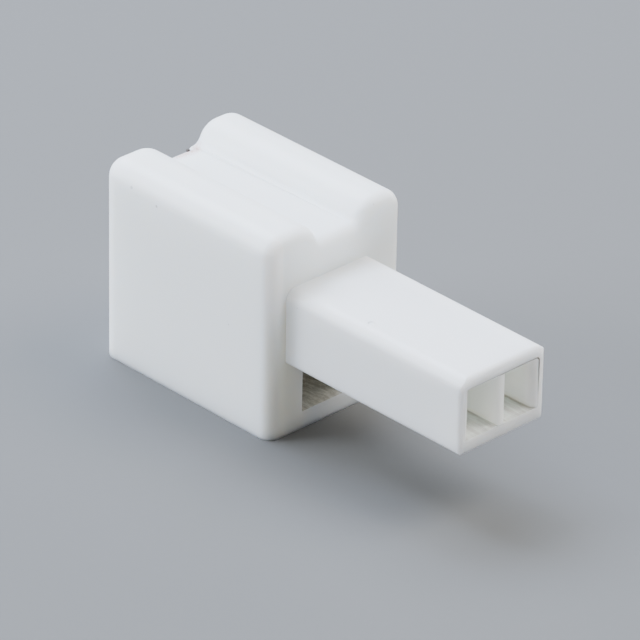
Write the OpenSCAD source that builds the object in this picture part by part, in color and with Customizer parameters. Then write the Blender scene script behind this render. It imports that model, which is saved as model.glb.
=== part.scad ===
// Two-way wire-to-board connector housing, moulded in one piece.
// A tall block takes the two crimped wires from behind. A slim nose with two
// contact mouths stands out of the block's face and plugs onto the board header,
// whose latch enters the pocket under the nose. Two rounded rails with a shallow
// channel between them run along the top of the block.
//
// Millimetres. +X runs out along the nose and +Z is up. The origin lies on the
// underside, halfway along the overall length, on the block's centre plane.

/* [Block] */
// Width of the block, across the two rails
block_w = 13.2; // [12.6:0.1:16]
// Length of the block, from the wire side to the face that carries the nose
block_l = 18.2; // [15:0.1:24]
// Height of the block, to the top of the rails
block_h = 16.4; // [16:0.1:21]
// Radius of the upright corners and of the top edge at the nose side
front_r = 1; // [0.5:0.05:1.4]
// Radius of the upright corners and of the top edge at the wire side
back_r = 1.35; // [0.5:0.05:1.5]
// Radius of the long outer edge of each rail
rail_r = 1.5; // [1.5:0.05:2]

/* [Channel between the rails] */
// Width of the channel's flat floor
channel_w = 3.1; // [2.2:0.1:3.6]
// Depth of the channel below the top of the rails, at the nose side
channel_d = 1.55; // [1.4:0.05:1.6]
// Fall of the channel's floor from the nose side to the wire side
floor_fall = 0.3; // [0.1:0.05:0.5]
// Radius of the shoulder where each rail rounds over into the channel
shoulder_r = 2; // [1.8:0.05:2.3]
// Radius of the hollow corner at each side of the channel's floor
foot_r = 0.6; // [0.5:0.05:0.8]
// Sideways offset of the channel from the block's centre plane
channel_y = 0.4; // [-0.4:0.05:0.4]

/* [Nose] */
// Length of the nose, from the block's face to the mouths
nose_l = 17.9; // [12:0.1:24]
// Width of the nose where it leaves the block
nose_w = 8.5; // [8.4:0.05:9.5]
// Height of the nose
nose_h = 6.15; // [5.9:0.05:7]
// Height of the nose's underside above the block's underside
nose_z = 6; // [5.9:0.05:7]
// Sideways offset of the nose from the block's centre plane
nose_y = -0.78; // [-0.9:0.05:0.6]
// Draft of each side of the nose, in degrees
nose_draft = 0.2; // [0:0.1:0.4]
// Radius of the nose's long upper edges
nose_top_r = 0.9; // [0.3:0.05:1]
// Radius of the nose's long lower edge at the side where the block is narrow
nose_low_r = 0.4; // [0.1:0.05:1]
// Radius of the nose's long lower edge at the other side, which keys it
nose_key_r = 0.9; // [0.1:0.05:1]
// Radius of the edge round the end of the nose
nose_end_r = 0.35; // [0.1:0.05:0.35]

/* [Contact cavities] */
// Distance between the two contact cavities, centre to centre
pitch = 3.5; // [3.45:0.05:3.6]
// Width of each cavity, which leaves the rib between the two
cavity_w = 2.84; // [2.6:0.02:2.9]
// Sideways offset of the two cavities from the nose's centre plane
cavity_y = -0.1; // [-0.1:0.02:0.1]
// Height of each mouth in the end of the nose
mouth_h = 4.1; // [3.6:0.05:4.2]
// Thickness of the nose's wall over the mouths
roof_t = 0.95; // [0.8:0.05:1.1]
// Radius of the lead-in beside each mouth, at the outer side
mouth_r = 0.55; // [0.3:0.05:0.55]
// Radius of both front edges of the rib between the mouths
rib_r = 0.22; // [0.1:0.02:0.24]
// Height of each wire entry in the back of the block
entry_h = 4.5; // [4.3:0.05:4.8]
// Depth of each wire entry, to the shoulder where the cavity gets lower
entry_l = 12.5; // [8:0.5:13.5]
// Radius of the edge round each wire entry
entry_r = 0.2; // [0.1:0.02:0.24]

/* [Latch pocket] */
// Width of the pocket under the nose
pocket_w = 5; // [4.6:0.1:6.5]
// Height of the pocket's floor above the underside
pocket_z = 1.4; // [1:0.05:1.6]
// Depth of the pocket from the block's face
pocket_l = 9.5; // [6:0.5:12]

/* [Hidden] */
$fn = 48;
// Overshoot of every cut past the face that it opens
cut = 1;
back_x = -(block_l + nose_l) / 2;
end_x = (block_l + nose_l) / 2;
face_x = back_x + block_l;
// Radii of an outline in X at its low back, low front, high front and high back corner
all_r = [back_r, front_r, front_r, back_r];
top_r = [0, 0, front_r, back_r];

// Rectangle between two corners, with a radius at each one:
// r = [low left, low right, high right, high left].
module rounded_rect(low, high, r) {
    difference() {
        translate(low) square(high - low);
        corner_waste(low, r[0], 0);
        corner_waste([high.x, low.y], r[1], 90);
        corner_waste(high, r[2], 180);
        corner_waste([low.x, high.y], r[3], 270);
    }
}

// What a round of radius r takes off the square corner at a point.
module corner_waste(at, r, turn) {
    if (r > 0)
        translate(at) rotate(turn) difference() {
            translate([-cut, -cut]) square(r + cut);
            translate([r, r]) circle(r);
        }
}

// An outline drawn in Y and Z, run along X.
module along_x(x0, x1) {
    translate([x0, 0, 0]) rotate([90, 0, 90]) linear_extrude(x1 - x0) children();
}

// An outline drawn in X and Z, run along Y.
module along_y(y0, y1) {
    translate([0, y1, 0]) rotate([90, 0, 0]) linear_extrude(y1 - y0) children();
}

// An outline drawn in X and Y, run along Z.
module along_z(z0, z1) {
    translate([0, 0, z0]) linear_extrude(z1 - z0) children();
}

// A round bar along the whole block, whose rims are rounded like the block's edges.
module bar(r, y, z) {
    translate([back_x, y, z]) rotate([0, 90, 0]) rotate_extrude()
        rounded_rect([0, 0], [r, block_l], [0, back_r, front_r, 0]);
}

// The air of a hollow corner along the block, which flares as the block's edges fall away.
module hollow(r, y, z) {
    reach = back_r + front_r;
    translate([0, y, z]) rotate([0, 90, 0]) rotate_extrude() difference() {
        translate([0, back_x - cut]) square([r + min(back_r, front_r), block_l + 2 * cut]);
        rounded_rect([r, back_x], [r + reach, face_x], [back_r, 0, 0, front_r]);
    }
}

// The block's outline in X and Z under the channel's floor, which falls to the wire side.
module floor_outline(z) {
    low_z = z - floor_fall;
    difference() {
        polygon([[back_x, 0], [face_x, 0], [face_x, z], [face_x - front_r, z], [back_x, low_z]]);
        corner_waste([face_x, z], front_r, 180);
        corner_waste([back_x, low_z], back_r, 270);
    }
}

// The air over the channel's floor and between the shoulders of the rails. Each
// shoulder rounds straight into a hollow corner, so their axes lie both radii apart.
module channel_air() {
    floor_z = block_h - channel_d;
    hollow_y = channel_w / 2;
    hollow_z = floor_z + foot_r;
    shoulder_z = block_h - shoulder_r;
    shoulder_y = hollow_y + sqrt(pow(shoulder_r + foot_r, 2) - pow(shoulder_z - hollow_z, 2));
    along_y(-hollow_y, hollow_y) difference() {
        translate([back_x - cut, 0]) square([block_l + 2 * cut, hollow_z]);
        floor_outline(floor_z);
    }
    difference() {
        along_x(back_x - cut, face_x + cut)
            polygon([[-shoulder_y, block_h + cut], [-shoulder_y, shoulder_z], [-hollow_y, hollow_z],
                     [hollow_y, hollow_z], [shoulder_y, shoulder_z], [shoulder_y, block_h + cut]]);
        for (side = [-1, 1]) bar(shoulder_r, side * shoulder_y, shoulder_z);
    }
    for (side = [-1, 1]) hollow(foot_r, side * hollow_y, hollow_z);
}

module block() {
    half_w = block_w / 2;
    rail_y = half_w - rail_r;
    rail_z = block_h - rail_r;
    difference() {
        union() {
            along_z(0, rail_z) rounded_rect([back_x, -half_w], [face_x, half_w], all_r);
            for (side = [-1, 1]) bar(rail_r, side * rail_y, rail_z);
            along_y(-rail_y, rail_y) rounded_rect([back_x, 0], [face_x, block_h], top_r);
        }
        translate([0, channel_y, 0]) channel_air();
    }
}

// A bar that leans in from one side of the nose by the draft and covers the whole nose.
module leaning_bar(low_r) {
    translate([face_x, -nose_w / 2, 0]) rotate(nose_draft) along_x(-cut, nose_l + cut)
        rounded_rect([0, nose_z], [nose_w + cut, nose_z + nose_h], [low_r, 0, 0, nose_top_r]);
}

// What the upright round at the end of the leaning side takes off.
module end_waste() {
    centre_x = end_x - nose_end_r;
    centre_y = (centre_x - face_x) * tan(nose_draft) + nose_end_r / cos(nose_draft) - nose_w / 2;
    reach = nose_end_r + cut;
    translate([centre_x, centre_y, 0]) along_z(nose_z - cut, nose_z + nose_h + cut) difference() {
        polygon([[0, 0], [reach, 0], [reach, -reach], reach * [sin(nose_draft), -cos(nose_draft)]]);
        circle(nose_end_r);
    }
}

module nose() {
    difference() {
        intersection() {
            leaning_bar(nose_low_r);
            mirror([0, 1, 0]) leaning_bar(nose_key_r);
            along_y(-nose_w, nose_w)
                rounded_rect([face_x - cut, nose_z], [end_x, nose_z + nose_h], nose_end_r * [0, 1, 1, 0]);
        }
        end_waste();
        mirror([0, 1, 0]) end_waste();
    }
}

// One contact cavity: the wire entry from the back, then the lower passage to the mouth.
module cavity() {
    rib_y = (pitch - cavity_w) / 2;
    wall_y = (pitch + cavity_w) / 2;
    top_z = nose_z + nose_h - roof_t;
    mid_z = top_z - mouth_h / 2;
    entry_low = mid_z - entry_h / 2;
    entry_top = mid_z + entry_h / 2;
    entry_x = back_x + entry_l;
    along_z(top_z - mouth_h, top_z) {
        translate([entry_x - cut, rib_y]) square([end_x - entry_x + 2 * cut, cavity_w]);
        corner_waste([end_x, wall_y], mouth_r, 90);
        corner_waste([end_x, rib_y], rib_r, 180);
    }
    intersection() {
        along_z(entry_low - cut, entry_top + cut) {
            translate([back_x - cut, rib_y]) square([entry_l + cut, cavity_w]);
            corner_waste([back_x, wall_y], entry_r, 0);
            corner_waste([back_x, rib_y], entry_r, 270);
        }
        along_y(rib_y - cut, wall_y + cut) {
            translate([back_x - cut, entry_low]) square([entry_l + cut, entry_h]);
            corner_waste([back_x, entry_top], entry_r, 0);
            corner_waste([back_x, entry_low], entry_r, 270);
        }
    }
}

module housing() {
    color("white") difference() {
        union() {
            block();
            translate([0, nose_y, 0]) nose();
        }
        translate([0, nose_y, 0]) {
            translate([0, cavity_y, 0]) {
                cavity();
                mirror([0, 1, 0]) cavity();
            }
            along_y(-pocket_w / 2, pocket_w / 2)
                translate([face_x - pocket_l, pocket_z]) square([pocket_l + cut, nose_z - pocket_z]);
        }
    }
}

housing();
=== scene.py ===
# %% [markdown]
# # Two-way wire-to-board connector housing
# One moulding in natural white nylon: a tall block that takes two crimped wires
# from behind, and a slim nose whose two contact mouths plug onto a board header.
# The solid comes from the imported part, already to size. This lesson gives it the
# finish of moulded nylon, adds the small marks that the mould and the tool leave,
# and lights it softly on grey studio paper.

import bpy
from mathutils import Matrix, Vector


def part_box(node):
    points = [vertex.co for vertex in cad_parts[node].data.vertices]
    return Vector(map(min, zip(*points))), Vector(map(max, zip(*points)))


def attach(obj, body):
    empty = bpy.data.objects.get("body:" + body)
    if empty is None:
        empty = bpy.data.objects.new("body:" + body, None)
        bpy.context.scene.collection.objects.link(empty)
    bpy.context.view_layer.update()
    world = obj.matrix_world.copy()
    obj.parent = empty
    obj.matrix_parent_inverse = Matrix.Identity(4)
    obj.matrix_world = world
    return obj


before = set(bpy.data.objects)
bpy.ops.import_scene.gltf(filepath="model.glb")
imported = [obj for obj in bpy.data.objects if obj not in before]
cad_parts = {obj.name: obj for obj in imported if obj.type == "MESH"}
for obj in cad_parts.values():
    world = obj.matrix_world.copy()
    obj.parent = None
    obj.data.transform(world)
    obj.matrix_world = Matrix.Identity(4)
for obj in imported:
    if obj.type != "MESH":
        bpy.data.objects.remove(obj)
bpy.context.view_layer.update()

# %% Imports and units
import math
import bmesh
import bpy
from mathutils import Matrix, Vector, noise

MM = 0.001
print("one millimetre in scene units:", MM)

# %% [markdown]
# ## Where things are
# The marks sit on edges of the solid: the lead-in line runs round the mouths in
# the end of the nose, and the mould's steel left streaks in the latch pocket. The
# moulding's own box gives its two ends. The other places are its drawing's sizes,
# in millimetres from the middle of the underside. The mouths' half width takes in
# both mouths and nearly all of their lead-ins.

# %% Places on the moulding
low, high = [Vector(corner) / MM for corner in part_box("housing")]
NOSE_LENGTH, NOSE_SIDE = 17.9, -0.78
end_x = high.x
face_x = end_x - NOSE_LENGTH
MOUTH_MIDDLE, MOUTH_HALF_WIDTH = NOSE_SIDE - 0.1, 3.66
MOUTH_LOW, MOUTH_TOP = 7.1, 11.2
RIB_HALF = 0.33
POCKET_HALF_WIDTH, POCKET_LOW, POCKET_TOP, POCKET_DEPTH = 2.5, 1.4, 6.0, 9.5
CHANNEL_Z = 14.5
print("ends of the nose at x =", round(face_x, 2), "and", round(end_x, 2), "mm")

# %% [markdown]
# ## Shader maths
# Masks decide where a mark shows. A small class wraps a node's socket and
# overloads the operators, so that a mask can be written as a sum, and one method
# adds any other node. The alternative, wiring every Math node by hand, hides the
# formula in dozens of links.

# %% A socket that does sums
class Value:
    def __init__(self, tree, socket):
        self.tree, self.socket = tree, socket

    def math(self, operation, *inputs):
        return self.tree.node("ShaderNodeMath", {"operation": operation}, dict(enumerate(inputs)))

    def __add__(self, other):
        return self.math("ADD", self, other)

    def __radd__(self, other):
        return self.math("ADD", other, self)

    def __sub__(self, other):
        return self.math("SUBTRACT", self, other)

    def __rsub__(self, other):
        return self.math("SUBTRACT", other, self)

    def __mul__(self, other):
        return self.math("MULTIPLY", self, other)

    def __rmul__(self, other):
        return self.math("MULTIPLY", other, self)

    def size(self):
        return self.math("ABSOLUTE", self)

    def root(self):
        return self.math("SQRT", self)

    def most(self, other):
        return self.math("MAXIMUM", self, other)

    def least(self, other):
        return self.math("MINIMUM", self, other)

    def between(self, low, high):
        """0 below low, 1 above high, and a smooth step between the two."""
        settings = {"interpolation_type": "SMOOTHSTEP"}
        inputs = {"Value": self, "From Min": low, "From Max": high}
        return self.tree.node("ShaderNodeMapRange", settings, inputs)

    def outside(self, low, high):
        """1 below low, 0 above high, and a smooth step between the two."""
        return 1.0 - self.between(low, high)


# %% The nodes of a material or of the room
class Nodes:
    def __init__(self, owner):
        owner.use_nodes = True
        self.nodes, self.links = owner.node_tree.nodes, owner.node_tree.links

    def node(self, kind, settings=None, inputs=None, output=0):
        """Adds a node: its settings first, then the values or links of its sockets."""
        made = self.nodes.new(kind)
        for name, value in (settings or {}).items():
            setattr(made, name, value)
        for name, value in (inputs or {}).items():
            self.feed(made.inputs[name], value)
        return Value(self, made.outputs[output])

    def feed(self, socket, value):
        if isinstance(value, Value):
            self.links.new(value.socket, socket)
        else:
            socket.default_value = value


# %% A material
class Finish(Nodes):
    def __init__(self, name):
        self.material = bpy.data.materials.new(name)
        super().__init__(self.material)
        self.shader = self.nodes["Principled BSDF"]

    def set(self, **sockets):
        for name, value in sockets.items():
            self.feed(self.shader.inputs[name.replace("_", " ")], value)

    def millimetres(self):
        """The place on the object, in millimetres, as a vector and as x, y and z."""
        place = self.node("ShaderNodeTexCoord", output="Object")
        inputs = {"Vector": place, "Scale": 1 / MM}
        scaled = self.node("ShaderNodeVectorMath", {"operation": "SCALE"}, inputs)
        return scaled, [self.node("ShaderNodeSeparateXYZ", inputs={0: scaled}, output=axis) for axis in "XYZ"]

    def stretched(self, place, factors):
        """The place with each axis scaled, which draws a pattern out along an axis."""
        return self.node("ShaderNodeVectorMath", {"operation": "MULTIPLY"}, {0: place, 1: factors})

    def distance(self, place, point):
        return self.node("ShaderNodeVectorMath", {"operation": "DISTANCE"}, {0: place, 1: point}, output=1)

    def noise(self, place, scale, detail=2.0, roughness=0.5):
        inputs = {"Vector": place, "Scale": scale, "Detail": detail, "Roughness": roughness}
        return self.node("ShaderNodeTexNoise", inputs=inputs)

    def blend(self, mask, below, above):
        """The colour below, turned into the colour above where the mask is 1."""
        inputs = {"Factor": mask, "A": below, "B": above}
        return self.node("ShaderNodeMix", {"data_type": "RGBA"}, inputs, output=2)


# %% [markdown]
# ## The nylon
# Unfilled nylon is milky: light enters the skin and comes out again a little
# further on, so its shadows stay soft and bright. A mix of white and grey would
# look like paint, so the shader's subsurface part carries the whole colour. The
# tint is a cool white, and the skin is satin: the polished mould was blasted very
# lightly, and the flow of the melt leaves faint clouds. The nose gets a slightly
# whiter tint than the block, whitest at its root: painted light, which lifts the
# shade where the nose meets the block.

# %% Base of the nylon
nylon = Finish("natural_nylon")
nylon.set(Subsurface_Weight=1.0, Subsurface_Scale=0.0022, Subsurface_Radius=(1.0, 0.93, 0.86), IOR=1.53)
place, (x, y, z) = nylon.millimetres()
grain = nylon.noise(place, 9.0, 3.0, 0.6)
cloud = nylon.noise(place, 0.26)
flow = nylon.noise(place, 0.42, 1.0)
WHITE, SHADE = (0.90, 0.935, 0.96, 1.0), (0.88, 0.918, 0.945, 1.0)
NOSE_PAINTED_LIGHT, ROOT_PAINTED_LIGHT, ROOT_REACH = (0.96, 0.985, 0.995, 1.0), (0.985, 0.995, 1.0, 1.0), 2.5
nose = x.between(face_x + 0.02, face_x + 0.1)
# Painted light on the nose, strongest at its root where the nose meets the block.
nose_painted_light = nylon.blend(x.between(face_x, face_x + ROOT_REACH), ROOT_PAINTED_LIGHT, NOSE_PAINTED_LIGHT)
colour = nylon.blend(nose, nylon.blend(cloud, SHADE, WHITE), nose_painted_light)
print("finish:", nylon.material.name)

# %% [markdown]
# ## Tone of the face round the nose
# The lamps alone leave the lower face beside the nose too blue, and its upright
# edge too bright below and too dull above. A tint by height evens that out. It was
# matched under these lamps, as the nose's own tint was, so neither is a
# known property of the moulding.

# %% Warmer lower face, lighter upper edge
FACE_LOW = (0.92, 0.905, 0.825, 1.0)
EDGE_LOW, EDGE_HIGH = (0.84, 0.83, 0.775, 1.0), (0.985, 0.99, 0.985, 1.0)
FACE_FADE, FACE_FULL = face_x - 0.9, face_x - 0.2
EDGE_FULL, EDGE_FADE = low.y + 0.7, low.y + 1.5
face = x.between(FACE_FADE, FACE_FULL) * (1.0 - nose)
edge = face * y.outside(EDGE_FULL, EDGE_FADE)
lower_face = face * y.outside(NOSE_SIDE - 3.0, NOSE_SIDE - 1.0) * z.outside(8.0, 14.0)
colour = nylon.blend(lower_face, colour, FACE_LOW)
colour = nylon.blend(edge, colour, nylon.blend(z.between(7.0, 13.0), EDGE_LOW, EDGE_HIGH))
print("tint full from x =", round(FACE_FULL, 2), "mm, edge up to y =", round(EDGE_FADE, 2), "mm")

# %% [markdown]
# ## Inside the mouths
# The cavities are cut by long steel cores that get hot. Their walls get a warmer
# tint that is painted shade, lighter near the nose's end as painted light, and
# their floors show drag lines along the pull, darkened further by painted shade.
# The creases beside the floors get painted shade too. A mask that is 1 within a
# box picks out the walls, because only walls lie inside such a box.

# %% A mask that is 1 within a box
def within(low_corner, high_corner, edge_width):
    mask = 1.0
    for along, start, stop in zip((x, y, z), low_corner, high_corner):
        middle, half = (start + stop) / 2, (stop - start) / 2
        mask = (along - middle).size().outside(half - edge_width, half) * mask
    return mask


# %% Cavity walls in a warm painted shade, floors with drag lines and painted shade
WALL_PAINTED_WARM_SHADE, FLOOR_DRAG_AND_PAINTED_SHADE = (0.90, 0.94, 0.885, 1.0), (0.69, 0.68, 0.65, 1.0)
MOUTH_END_PAINTED_LIGHT = (0.98, 0.99, 0.965, 1.0)
cavity = within(
    (low.x + 0.05, MOUTH_MIDDLE - MOUTH_HALF_WIDTH, MOUTH_LOW - 0.3),
    (end_x + 0.02, MOUTH_MIDDLE + MOUTH_HALF_WIDTH, MOUTH_TOP + 0.2),
    0.12,
)
drag = nylon.noise(nylon.stretched(place, (0.16, 1.0, 1.0)), 2.6, 4.0, 0.65)
floor_only = z.outside(MOUTH_LOW + 0.04, MOUTH_LOW + 0.5)
drag_lines_and_painted_shade = drag.between(0.35, 0.65) * (floor_only * 0.88 + 0.12)
cavity_colour = nylon.blend(drag_lines_and_painted_shade, WALL_PAINTED_WARM_SHADE, FLOOR_DRAG_AND_PAINTED_SHADE)
# Painted light on the walls near the nose's end, where the mouths open.
END_FADE, END_FULL = end_x - 1.1, end_x - 0.5
painted_light_wall_end = x.between(END_FADE, END_FULL) * (1.0 - floor_only)
cavity_colour = nylon.blend(painted_light_wall_end, cavity_colour, MOUTH_END_PAINTED_LIGHT)
print("cavity floors at z =", MOUTH_LOW, "mm, roofs at z =", MOUTH_TOP, "mm")

# %% Painted shade in the two creases along the cavities' floors
CREASE_PAINTED_SHADE = (0.56, 0.56, 0.535, 1.0)
FAR_CREASE, RIB_CREASE = 1.95, -1.3
beside_far_wall = (y - FAR_CREASE).between(0.1, 0.3)
beside_rib = (y - RIB_CREASE).size().outside(0.05, 0.25) * 0.25
painted_crease_shade = (z - MOUTH_LOW).outside(0.03, 0.16) * (beside_far_wall + beside_rib)
# Painted shade in the creases beside the floors.
cavity_colour = nylon.blend(painted_crease_shade * drag.between(0.2, 0.5), cavity_colour, CREASE_PAINTED_SHADE)
colour = nylon.blend(cavity, colour, cavity_colour)
print("creases past y =", FAR_CREASE, "mm and round y =", RIB_CREASE, "mm")

# %% [markdown]
# ## Light carried by the nylon
# Thin milky walls pass light on, so the rib between the mouths, the root of the
# nose and the block's upright edge look brighter than these lamps make them. The
# subsurface part doesn't carry light that far here, so a weak emission stands in
# for it. It was matched, and isn't a measured property: in another light it
# may have to be turned down, and in the dark it would glow. An Emission Strength
# of 0 removes it.

# %% Weak emission in the rib, the root and the edge
NO_LIGHT = (0.0, 0.0, 0.0, 1.0)
RIB_LIGHT, ROOT_LIGHT = (0.205, 0.214, 0.196, 1.0), (0.165, 0.178, 0.190, 1.0)
EDGE_LIGHT, RIB_MARGIN = (0.165, 0.163, 0.155, 1.0), 0.12
rib = within(
    (face_x, MOUTH_MIDDLE - RIB_HALF - RIB_MARGIN, MOUTH_LOW + 0.02),
    (end_x + 0.2, MOUTH_MIDDLE + RIB_HALF + RIB_MARGIN, MOUTH_TOP - 0.02),
    0.05,
)
ROOT_FULL, ROOT_FADE = face_x + 0.15, face_x + 1.1
SIDE_FULL, SIDE_FADE = -4.95, -4.7
nose_root = nose * x.outside(ROOT_FULL, ROOT_FADE)
nose_root = nose_root * y.outside(SIDE_FULL, SIDE_FADE) * z.between(5.8, 6.4)
glow = nylon.blend(rib, NO_LIGHT, RIB_LIGHT)
glow = nylon.blend(nose_root, glow, ROOT_LIGHT)
glow = nylon.blend(edge * z.between(8.0, 13.5), glow, EDGE_LIGHT)
print("rib", 2 * RIB_HALF, "mm thick")

# %% [markdown]
# ## The latch pocket
# The pocket's core is an insert with a rougher, spark-cut skin, and the pocket is
# tinted a darker brownish grey. Noise that is drawn out along the pull gives the
# streaks, and finer noise the specks between them. A trace of the same emission
# lights its upper part.

# %% Streaky pocket
POCKET_DARK_TONE, POCKET_PALE_TONE = (0.50, 0.48, 0.41, 1.0), (0.80, 0.785, 0.71, 1.0)
POCKET_LIGHT = (0.050, 0.048, 0.042, 1.0)
pocket = within(
    (face_x - POCKET_DEPTH - 0.2, NOSE_SIDE - POCKET_HALF_WIDTH - 0.1, POCKET_LOW - 0.1),
    (face_x - 0.02, NOSE_SIDE + POCKET_HALF_WIDTH + 0.1, POCKET_TOP + 0.1),
    0.05,
)
streak = nylon.noise(nylon.stretched(place, (0.4, 1.3, 1.6)), 2.2, 5.0, 0.7)
speck = nylon.noise(place, 5.0, 4.0, 0.7)
pocket_streaks = (streak * 0.7 + speck * 0.3).between(0.38, 0.62)
colour = nylon.blend(pocket, colour, nylon.blend(pocket_streaks, POCKET_DARK_TONE, POCKET_PALE_TONE))
pocket_lit = pocket * z.between(POCKET_LOW + 0.5, POCKET_TOP) * (streak * 0.9 + 0.55)
glow = nylon.blend(pocket_lit, glow, POCKET_LIGHT)
nylon.set(Emission_Strength=1.0, Emission_Color=glow)
print("pocket", 2 * POCKET_HALF_WIDTH, "mm wide and", POCKET_DEPTH, "mm deep")

# %% [markdown]
# ## The lead-in line
# A thin line runs round both mouths in the end of the nose, where the lead-in
# stops. Its darkness is painted shade, strongest at the far top corner. A distance
# to a rounded rectangle gives the line an even width all the way round.

# %% Distance to the mouths' outline
OUTLINE_R = 0.25
half_height = (MOUTH_TOP - MOUTH_LOW) / 2
side = (y - MOUTH_MIDDLE).size() - (MOUTH_HALF_WIDTH - OUTLINE_R)
tall = (z - (MOUTH_TOP + MOUTH_LOW) / 2).size() - (half_height - OUTLINE_R)
outside_side, outside_tall = side.most(0.0), tall.most(0.0)
corner = (outside_side * outside_side + outside_tall * outside_tall).root()
outline = corner + side.most(tall).least(0.0) - OUTLINE_R
print("outline round both mouths:", 2 * MOUTH_HALF_WIDTH, "by", round(2 * half_height, 2), "mm")

# %% Line round the mouths
LINE_PAINTED_SHADE = (0.16, 0.15, 0.13, 1.0)
LINE_PLACE, LINE_HALF, LINE_FADE, LINE_DEEP, LINE_SHALLOW = 0.02, 0.03, 0.09, 0.5, 0.3
line = (outline - LINE_PLACE).size().outside(LINE_HALF, LINE_FADE)
line = line * x.between(end_x - LINE_DEEP, end_x - LINE_SHALLOW)
far_side = (y - MOUTH_MIDDLE).between(-3.5, 3.6)
upper = z.between(MOUTH_LOW, MOUTH_TOP)
line = line * (far_side * upper * 0.9 + 0.06 + drag * 0.16)
# Painted shade in the line, strongest at the far top corner.
colour = nylon.blend(line, colour, LINE_PAINTED_SHADE)
print("line", 2 * LINE_HALF, "mm wide, within", LINE_DEEP, "mm of the nose's end")

# %% [markdown]
# ## Flecks, a bubble and the gate scar
# Every moulding carries a few: specks of dark dust in the skin, one shallow ring
# where an air bubble burst, and the scar where the melt came in, at the wire side
# of the channel. Each one is a mask by the distance to a point.

# %% A mask round a point
def near(point, reach, softness=0.4):
    return nylon.distance(place, point).outside(reach * (1 - softness), reach)


# %% Dust in the skin
DARK_DUST = (0.25, 0.23, 0.2, 1.0)
FLECKS = (
    ((-12.04, -6.6, 14.7), 0.13, 0.5),
    ((-14.79, -6.57, 15.17), 0.16, 0.35),
    ((-4.23, -6.6, 8.11), 0.08, 0.3),
    ((-0.1, 3.8, 15.93), 0.09, 0.22),
    ((1.3, -5.03, 11.15), 0.08, 0.2),
    ((1.1, -5.03, 10.2), 0.07, 0.15),
)
first, *others = [near(point, reach) * strength for point, reach, strength in FLECKS]
flecks = first
for fleck in others:
    flecks = flecks.most(fleck)
colour = nylon.blend(flecks, colour, DARK_DUST)
print("flecks:", len(FLECKS))

# %% Burst bubble: a ring in relief, with painted shade on one side
BUBBLE, BUBBLE_PAINTED_SHADE = Vector((7.77, -3.86, 12.15)), (0.55, 0.57, 0.58, 1.0)
SHIFT = Vector((0.08, 0.0, 0.0))
ring = near(BUBBLE, 0.3, 0.25) - near(BUBBLE, 0.2, 0.35)
dimple_painted_shade = near(BUBBLE - SHIFT, 0.29) - near(BUBBLE + SHIFT, 0.29)
# Painted shade on one side of the ring.
colour = nylon.blend(dimple_painted_shade, colour, BUBBLE_PAINTED_SHADE)
print("bubble at", tuple(round(v, 2) for v in BUBBLE), "mm")

# %% Gate scar and painted shade: a brownish patch, longer across the channel than along it, fading out wide
# The scar's middle is a point of the stretched place, so its real y is 0.34 / 0.32 mm.
SCAR_AND_SHADE_COLOUR, SCAR_FULL, SCAR_AND_SHADE_REACH = (0.62, 0.40, 0.34, 1.0), 0.1, 0.9
SCAR_STRETCH, SCAR_MIDDLE = (1.0, 0.32, 1.0), (low.x + 0.95, 0.34, CHANNEL_Z)
from_scar = nylon.distance(nylon.stretched(place, SCAR_STRETCH), SCAR_MIDDLE)
# The middle is the scar's own colour, and its wide soft fade is painted shade on the channel near the back.
scar_and_painted_shade = from_scar.outside(SCAR_FULL, SCAR_AND_SHADE_REACH) * grain.between(0.3, 0.6)
colour = nylon.blend(scar_and_painted_shade * 0.95, colour, SCAR_AND_SHADE_COLOUR)
print("scar at x =", round(SCAR_MIDDLE[0], 2), "mm")

# %% [markdown]
# ## The skin in relief
# Bump does the rest: a fine grain, the flow's long waves, the ring, the line and
# the streaks. The hot cavities and the spark-cut pocket are duller than the skin.
# The mesh of the moulding itself stays as it came.

# %% Bump, roughness, and the finish on the moulding
BUMP_STRENGTH, BUMP_DISTANCE = 0.35, 0.02 * MM
height = grain * 0.5 + flow * 3.0 + ring * 14.0 - line * 20.0
height = height + streak * 24.0 * pocket + drag * 8.0 * (cavity * floor_only)
bump_inputs = {"Strength": BUMP_STRENGTH, "Distance": BUMP_DISTANCE, "Height": height}
bump = nylon.node("ShaderNodeBump", inputs=bump_inputs)
roughness = cloud * 0.1 + 0.42 + pocket * 0.25 + cavity * 0.08
nylon.set(Base_Color=colour, Roughness=roughness, Normal=bump)
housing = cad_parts["housing"]
housing.data.materials.clear()
housing.data.materials.append(nylon.material)
print("nodes in the nylon:", len(nylon.nodes))

# %% [markdown]
# ## The gate's stub
# Where the gate broke off, a nub of nylon a third of a millimetre across stays on
# the back edge of the channel, scorched almost black. A small sphere, squashed
# and roughened, is enough at this size.

# %% From a bmesh to an object
def put_in_scene(shape, name, finish):
    """Makes the bmesh an object at the origin, with one finish."""
    data = bpy.data.meshes.new(name)
    shape.to_mesh(data)
    shape.free()
    data.materials.append(finish.material)
    made = bpy.data.objects.new(name, data)
    bpy.context.scene.collection.objects.link(made)
    return made


# %% Scorched nylon
CHARRED, SCORCHED = (0.03, 0.027, 0.025, 1.0), (0.12, 0.10, 0.09, 1.0)
scorched = Finish("scorched_nylon")
tone = scorched.noise(scorched.millimetres()[0], 7.0, 3.0)
scorched.set(Base_Color=scorched.blend(tone, CHARRED, SCORCHED), Roughness=tone * 0.2 + 0.5)
print("finish:", scorched.material.name)

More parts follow.
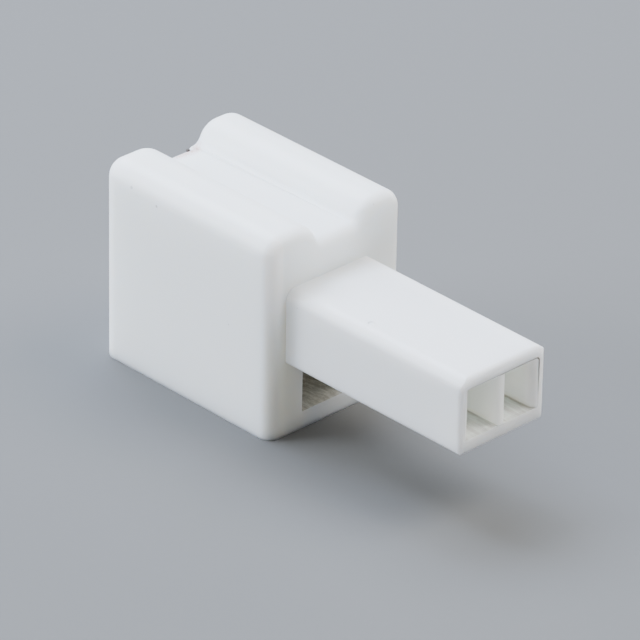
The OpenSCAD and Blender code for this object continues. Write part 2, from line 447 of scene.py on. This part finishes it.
# %% Stub
STUB_SIZE = Vector((0.17, 0.15, 0.14)) * MM
STUB_PLACE = Vector((low.x + 0.68, 1.38, CHANNEL_Z - 0.04)) * MM
TEAR, TEAR_SCALE = 0.35, 1.7
stub_shape = bmesh.new()
bmesh.ops.create_icosphere(stub_shape, subdivisions=3, radius=1.0)
for vert in stub_shape.verts:
    torn = 1.0 + TEAR * noise.noise(vert.co * TEAR_SCALE)
    vert.co = Vector(c * r for c, r in zip(vert.co, STUB_SIZE)) * torn + STUB_PLACE
stub = put_in_scene(stub_shape, "gate_stub", scorched)
stub.data.shade_smooth()
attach(stub, "root")
print("stub:", len(stub.data.vertices), "vertices")

# %% [markdown]
# ## Floor
# Plain grey paper under the object. Its fibres show only as a trace of mottle,
# which noise between two near greys gives. The sheet is small, so that a level
# view looks past it.

# %% Paper
PAPER_DARK, PAPER_PALE = (0.136, 0.1365, 0.1345, 1.0), (0.1405, 0.1415, 0.140, 1.0)
FLOOR_HALF = 0.42
paper = Finish("studio_paper")
fibre = paper.noise(paper.millimetres()[0], 1.4, 4.0, 0.6)
paper.set(Base_Color=paper.blend(fibre, PAPER_DARK, PAPER_PALE), Roughness=0.9)
floor_shape = bmesh.new()
bmesh.ops.create_grid(floor_shape, x_segments=1, y_segments=1, size=FLOOR_HALF)
floor = put_in_scene(floor_shape, "floor", paper)
print("floor", 2 * FLOOR_HALF, "m wide")

# %% [markdown]
# ## Light
# A ring of large soft lamps: the strongest stand behind the object and to its
# left, so the top is brightest, the long side comes next and the end faces stay
# in soft shade. The lamps on the left are cool, those behind are cooler, and the
# ones on the right are nearly neutral, which keeps the shade from going blue. The
# room is dim as a light. Past the paper's edge the camera sees it as a pale wall,
# and that paler colour lights nothing.

# %% A soft lamp
LAMP_DISTANCE, LAMP_SIZE = 0.5, 0.3
AIM = Vector((0.0, 0.0, 0.006))


def softbox(name, turn, lift, power, tint):
    """A disk lamp, turned from the nose's direction and lifted, both in degrees."""
    turn, lift = math.radians(turn), math.radians(lift)
    flat = math.cos(lift)
    place = LAMP_DISTANCE * Vector((flat * math.cos(turn), flat * math.sin(turn), math.sin(lift)))
    lamp = bpy.data.lights.new(name, "AREA")
    lamp.shape, lamp.size, lamp.energy, lamp.color = "DISK", LAMP_SIZE, power, tint
    holder = bpy.data.objects.new(name, lamp)
    holder.location = place
    holder.rotation_euler = (AIM - place).to_track_quat("-Z", "Y").to_euler()
    bpy.context.scene.collection.objects.link(holder)


# %% Lamps
SKY, COOL, NEUTRAL = (0.86, 1.0, 1.27), (0.91, 0.99, 1.10), (1.02, 1.0, 0.955)
softbox("low_left", 225, 18, 4.05, COOL)
softbox("high_left", 225, 55, 0.7, COOL)
softbox("high_back", 180, 55, 3.25, SKY)
softbox("high_far", 135, 55, 2.2, SKY)
softbox("low_far_right", 90, 18, 1.25, NEUTRAL)
softbox("high_right", 45, 55, 2.45, NEUTRAL)
softbox("low_right", 45, 18, 0.2, NEUTRAL)
softbox("high_near", 270, 55, 0.4, NEUTRAL)

# %% The room: dim as a light, pale as a wall past the paper
ROOM_LIGHT, ROOM_STRENGTH = (1.0, 0.98, 0.985, 1.0), 0.17
WALL_COLOUR, WALL_STRENGTH = (0.95, 0.99, 1.04, 1.0), 0.56
world = bpy.data.worlds.new("studio")
room = Nodes(world)
room.nodes.remove(room.nodes["Background"])
light = room.node("ShaderNodeBackground", inputs={"Color": ROOM_LIGHT, "Strength": ROOM_STRENGTH})
wall = room.node("ShaderNodeBackground", inputs={"Color": WALL_COLOUR, "Strength": WALL_STRENGTH})
seen = room.node("ShaderNodeLightPath", output="Is Camera Ray")
both = room.node("ShaderNodeMixShader", inputs={0: seen, 1: light, 2: wall})
room.feed(room.nodes["World Output"].inputs["Surface"], both)
bpy.context.scene.world = world
print("room:", ROOM_STRENGTH, "as a light,", WALL_STRENGTH, "as a wall")

# %% [markdown]
# ## Camera
# A long lens from almost half a metre away, which looks down on the nose's end
# and the long side, so that the top and both mouths show too. The view's middle
# is given as a shift from a point on the block, so the lens itself stays unshifted.

# %% The camera's own axes
def camera_axes(azimuth, elevation, roll):
    a, e, r = (math.radians(v) for v in (azimuth, elevation, roll))
    back = Vector((math.sin(a) * math.cos(e), -math.cos(a) * math.cos(e), math.sin(e)))
    right = Vector((math.cos(a), math.sin(a), 0.0))
    up = back.cross(right)
    return (
        math.cos(r) * right - math.sin(r) * up,
        math.sin(r) * right + math.cos(r) * up,
        back,
    )


# %% Camera
AZIMUTH, ELEVATION, ROLL = 46.05, 29.05, -1.03
DISTANCE = 446.1 * MM
TARGET = Vector((0.15, 0.0, 5.0)) * MM
SIDE_SHIFT, RISE = 1.119 * MM, -2.488 * MM
SENSOR_WIDTH, IMAGE_WIDTH, LENS_IN_IMAGE = 36.0, 640.0, 6114.7
right, up, back = camera_axes(AZIMUTH, ELEVATION, ROLL)
lens = bpy.data.cameras.new("camera")
lens.sensor_width = SENSOR_WIDTH
lens.lens = LENS_IN_IMAGE * SENSOR_WIDTH / IMAGE_WIDTH
lens.clip_start, lens.clip_end = 0.01, 20.0
camera = bpy.data.objects.new("camera", lens)
middle = TARGET - SIDE_SHIFT * right - RISE * up
turn = Matrix((right, up, back)).transposed().to_4x4()
camera.matrix_world = Matrix.Translation(middle + DISTANCE * back) @ turn
bpy.context.scene.collection.objects.link(camera)
bpy.context.scene.camera = camera
print("lens:", round(lens.lens, 1), "mm")
